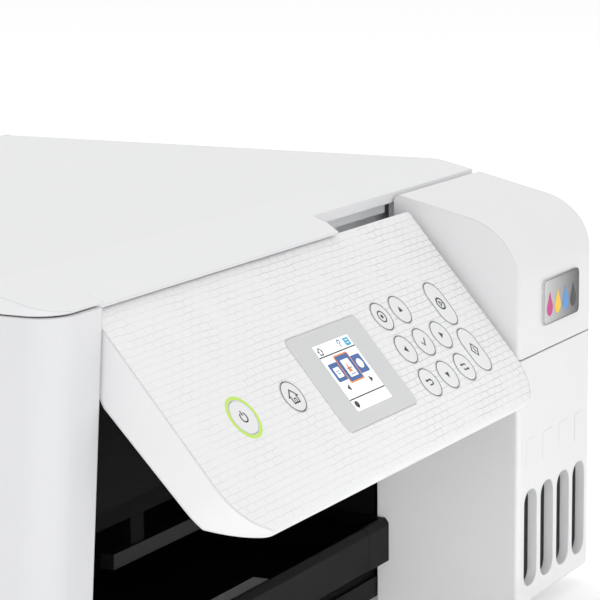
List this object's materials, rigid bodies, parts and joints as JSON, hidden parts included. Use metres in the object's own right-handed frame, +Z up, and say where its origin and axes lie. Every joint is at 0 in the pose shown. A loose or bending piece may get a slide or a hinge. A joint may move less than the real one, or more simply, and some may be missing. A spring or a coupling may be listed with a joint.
{
  "type": "inkjet printer",
  "caption": "Desktop inkjet printer with a flatbed scanner lid, tilting control panel, front ink tank unit, rear paper feed and sliding output tray.",
  "frame": {"origin": "centre of the resting printer's footprint box, on the surface it stands on", "axes": "+Z up, front of the printer towards -Y, left side at -X"},
  "size_m": [0.375, 0.3587, 0.187],
  "materials": {
    "white_shell": "satin moulded ABS",
    "white_trim": "satin moulded ABS",
    "dark_plastic": "matt moulded polystyrene",
    "rubber": "matt rubber",
    "roller_rubber": "ground rubber",
    "steel": "zinc-plated sheet",
    "smoked_window": "smoked clear plastic",
    "badge_metal": "brushed",
    "pad_foam": "soft white foam sheet",
    "flat_glass": "clear",
    "display": "display behind a clear lens",
    "board": "solder mask",
    "ink_resin": "translucent polypropylene",
    "button_plastic": "satin moulded ABS"
  },
  "bodies": {
    "base": {"main_case": "white_shell", "tank_housing": "white_shell", "feeder_hopper": "white_trim", "bay_liner": "dark_plastic", "base_pan": "dark_plastic", "star_wheel_bar": "dark_plastic", "platen": "dark_plastic", "maintenance_box": "dark_plastic", "ac_inlet": "dark_plastic", "rubber_feet": "rubber", "carriage_belt": "rubber", "main_frame": "steel", "carriage_rail": "steel", "usb_port": "steel", "case_screws": "steel", "carriage_motor": "steel", "power_supply": "steel", "ink_windows": "smoked_window", "main_board": "board", "ink_tank_1": "ink_resin", "ink_tank_2": "ink_resin", "ink_tank_3": "ink_resin", "ink_tank_4": "ink_resin"},
    "scanner": {"scanner_tray": "white_trim", "scan_glass": "flat_glass"},
    "scan_head": {"scan_bar": "dark_plastic"},
    "lid": {"document_lid": "white_shell", "lid_pad": "pad_foam"},
    "cover": {"tank_cover": "white_shell", "badge": "badge_metal"},
    "panel": {"control_panel": "white_shell", "lcd_module": "display"},
    "flap": {"paper_support": "white_trim"},
    "flap_slide": {"support_extension": "white_trim"},
    "guide_left": {"edge_guide_left": "white_trim"},
    "guide_right": {"edge_guide_right": "white_trim"},
    "tray": {"output_tray": "dark_plastic"},
    "extension": {"tray_extension": "dark_plastic"},
    "stopper": {"paper_stopper": "white_trim"},
    "feed_drive": {"feed_roller": "roller_rubber"},
    "exit_drive": {"exit_roller": "roller_rubber"},
    "print_carriage": {"carriage": "dark_plastic"},
    "pulley": {"drive_pulley": "steel"},
    "cap_1": {"ink_cap_1": "dark_plastic"},
    "cap_2": {"ink_cap_2": "dark_plastic"},
    "cap_3": {"ink_cap_3": "dark_plastic"},
    "cap_4": {"ink_cap_4": "dark_plastic"},
    "key_power": {"button_power": "button_plastic"},
    "key_home": {"button_home": "button_plastic"},
    "key_help": {"button_help": "button_plastic"},
    "key_up": {"button_up": "button_plastic"},
    "key_left": {"button_left": "button_plastic"},
    "key_ok": {"button_ok": "button_plastic"},
    "key_right": {"button_right": "button_plastic"},
    "key_back": {"button_back": "button_plastic"},
    "key_down": {"button_down": "button_plastic"},
    "key_swap": {"button_swap": "button_plastic"},
    "key_stop": {"button_stop": "button_plastic"},
    "key_start": {"button_start": "button_plastic"}
  },
  "joints": [
    {"name": "scanner_lift", "type": "hinge", "parent": "base", "child": "scanner", "pos_m": [0, 0.13889, 0.179], "axis": [-1, 0, 0], "range_deg": [0, 22]},
    {"name": "lid_hinge", "type": "hinge", "parent": "scanner", "child": "lid", "pos_m": [0, 0.13889, 0.179], "axis": [-1, 0, 0], "range_deg": [0, 70]},
    {"name": "scan_travel", "type": "slide", "parent": "scanner", "child": "scan_head", "axis": [1, 0, 0], "range_m": [0, 0.29]},
    {"name": "tank_cover_hinge", "type": "hinge", "parent": "base", "child": "cover", "pos_m": [0.145, -0.11211, 0.1795], "axis": [-1, 0, 0], "range_deg": [0, 70]},
    {"name": "ink_cap_hinge_1", "type": "hinge", "parent": "base", "child": "cap_1", "pos_m": [0.1153, -0.12861, 0.1185], "axis": [-1, 0, 0], "range_deg": [0, 100]},
    {"name": "ink_cap_hinge_2", "type": "hinge", "parent": "base", "child": "cap_2", "pos_m": [0.1339, -0.12861, 0.1185], "axis": [-1, 0, 0], "range_deg": [0, 100]},
    {"name": "ink_cap_hinge_3", "type": "hinge", "parent": "base", "child": "cap_3", "pos_m": [0.1525, -0.12861, 0.1185], "axis": [-1, 0, 0], "range_deg": [0, 100]},
    {"name": "ink_cap_hinge_4", "type": "hinge", "parent": "base", "child": "cap_4", "pos_m": [0.1711, -0.12861, 0.1185], "axis": [-1, 0, 0], "range_deg": [0, 100]},
    {"name": "panel_tilt", "type": "hinge", "parent": "base", "child": "panel", "pos_m": [-0.03, -0.11485, 0.16944], "axis": [1, 0, 0], "range_deg": [-25, 38]},
    {"name": "press_power", "type": "slide", "parent": "panel", "child": "key_power", "axis": [0, 0.7624, -0.6471], "range_m": [0, 0.0005], "stiffness_N_per_m": 600},
    {"name": "press_home", "type": "slide", "parent": "panel", "child": "key_home", "axis": [0, 0.7624, -0.6471], "range_m": [0, 0.0005], "stiffness_N_per_m": 600},
    {"name": "press_help", "type": "slide", "parent": "panel", "child": "key_help", "axis": [0, 0.7624, -0.6471], "range_m": [0, 0.0005], "stiffness_N_per_m": 600},
    {"name": "press_up", "type": "slide", "parent": "panel", "child": "key_up", "axis": [0, 0.7624, -0.6471], "range_m": [0, 0.0005], "stiffness_N_per_m": 600},
    {"name": "press_left", "type": "slide", "parent": "panel", "child": "key_left", "axis": [0, 0.7624, -0.6471], "range_m": [0, 0.0005], "stiffness_N_per_m": 600},
    {"name": "press_ok", "type": "slide", "parent": "panel", "child": "key_ok", "axis": [0, 0.7624, -0.6471], "range_m": [0, 0.0005], "stiffness_N_per_m": 600},
    {"name": "press_right", "type": "slide", "parent": "panel", "child": "key_right", "axis": [0, 0.7624, -0.6471], "range_m": [0, 0.0005], "stiffness_N_per_m": 600},
    {"name": "press_back", "type": "slide", "parent": "panel", "child": "key_back", "axis": [0, 0.7624, -0.6471], "range_m": [0, 0.0005], "stiffness_N_per_m": 600},
    {"name": "press_down", "type": "slide", "parent": "panel", "child": "key_down", "axis": [0, 0.7624, -0.6471], "range_m": [0, 0.0005], "stiffness_N_per_m": 600},
    {"name": "press_swap", "type": "slide", "parent": "panel", "child": "key_swap", "axis": [0, 0.7624, -0.6471], "range_m": [0, 0.0005], "stiffness_N_per_m": 600},
    {"name": "press_stop", "type": "slide", "parent": "panel", "child": "key_stop", "axis": [0, 0.7624, -0.6471], "range_m": [0, 0.0005], "stiffness_N_per_m": 600},
    {"name": "press_start", "type": "slide", "parent": "panel", "child": "key_start", "axis": [0, 0.7624, -0.6471], "range_m": [0, 0.0005], "stiffness_N_per_m": 600},
    {"name": "paper_support_hinge", "type": "hinge", "parent": "base", "child": "flap", "pos_m": [0, 0.17589, 0.1825], "axis": [-1, 0, 0], "range_deg": [0, 110]},
    {"name": "support_slide", "type": "slide", "parent": "flap", "child": "flap_slide", "axis": [0, -1, 0], "range_m": [0, 0.0166]},
    {"name": "guide_left_slide", "type": "slide", "parent": "base", "child": "guide_left", "axis": [1, 0, 0], "range_m": [0, 0.055]},
    {"name": "guide_right_slide", "type": "slide", "parent": "base", "child": "guide_right", "axis": [1, 0, 0], "range_m": [-0.055, 0]},
    {"name": "tray_slide", "type": "slide", "parent": "base", "child": "tray", "axis": [0, -1, 0], "range_m": [0, 0.09]},
    {"name": "extension_slide", "type": "slide", "parent": "tray", "child": "extension", "axis": [0, -1, 0], "range_m": [0, 0.055]},
    {"name": "stopper_hinge", "type": "hinge", "parent": "extension", "child": "stopper", "pos_m": [0, -0.10011, 0.0286], "axis": [1, 0, 0], "range_deg": [0, 85]},
    {"name": "feed_roller_spin", "type": "hinge", "parent": "base", "child": "feed_drive", "pos_m": [0, 0.05689, 0.058], "axis": [1, 0, 0], "continuous": true},
    {"name": "exit_roller_spin", "type": "hinge", "parent": "base", "child": "exit_drive", "pos_m": [0, 0.00489, 0.058], "axis": [1, 0, 0], "continuous": true},
    {"name": "carriage_travel", "type": "slide", "parent": "base", "child": "print_carriage", "axis": [-1, 0, 0], "range_m": [0, 0.2]},
    {"name": "pulley_spin", "type": "hinge", "parent": "base", "child": "pulley", "pos_m": [0.138, 0.06189, 0.116], "axis": [0, 1, 0], "range_deg": [-1, 2049]}
  ],
  "couplings": [
    {"joint": "support_slide", "follows": "paper_support_hinge", "m_per_rad": 0.0086},
    {"joint": "guide_right_slide", "follows": "guide_left_slide", "ratio": -1},
    {"joint": "feed_roller_spin", "follows": "exit_roller_spin", "ratio": 0.7143},
    {"joint": "pulley_spin", "follows": "carriage_travel", "rad_per_m": 178.57}
  ]
}
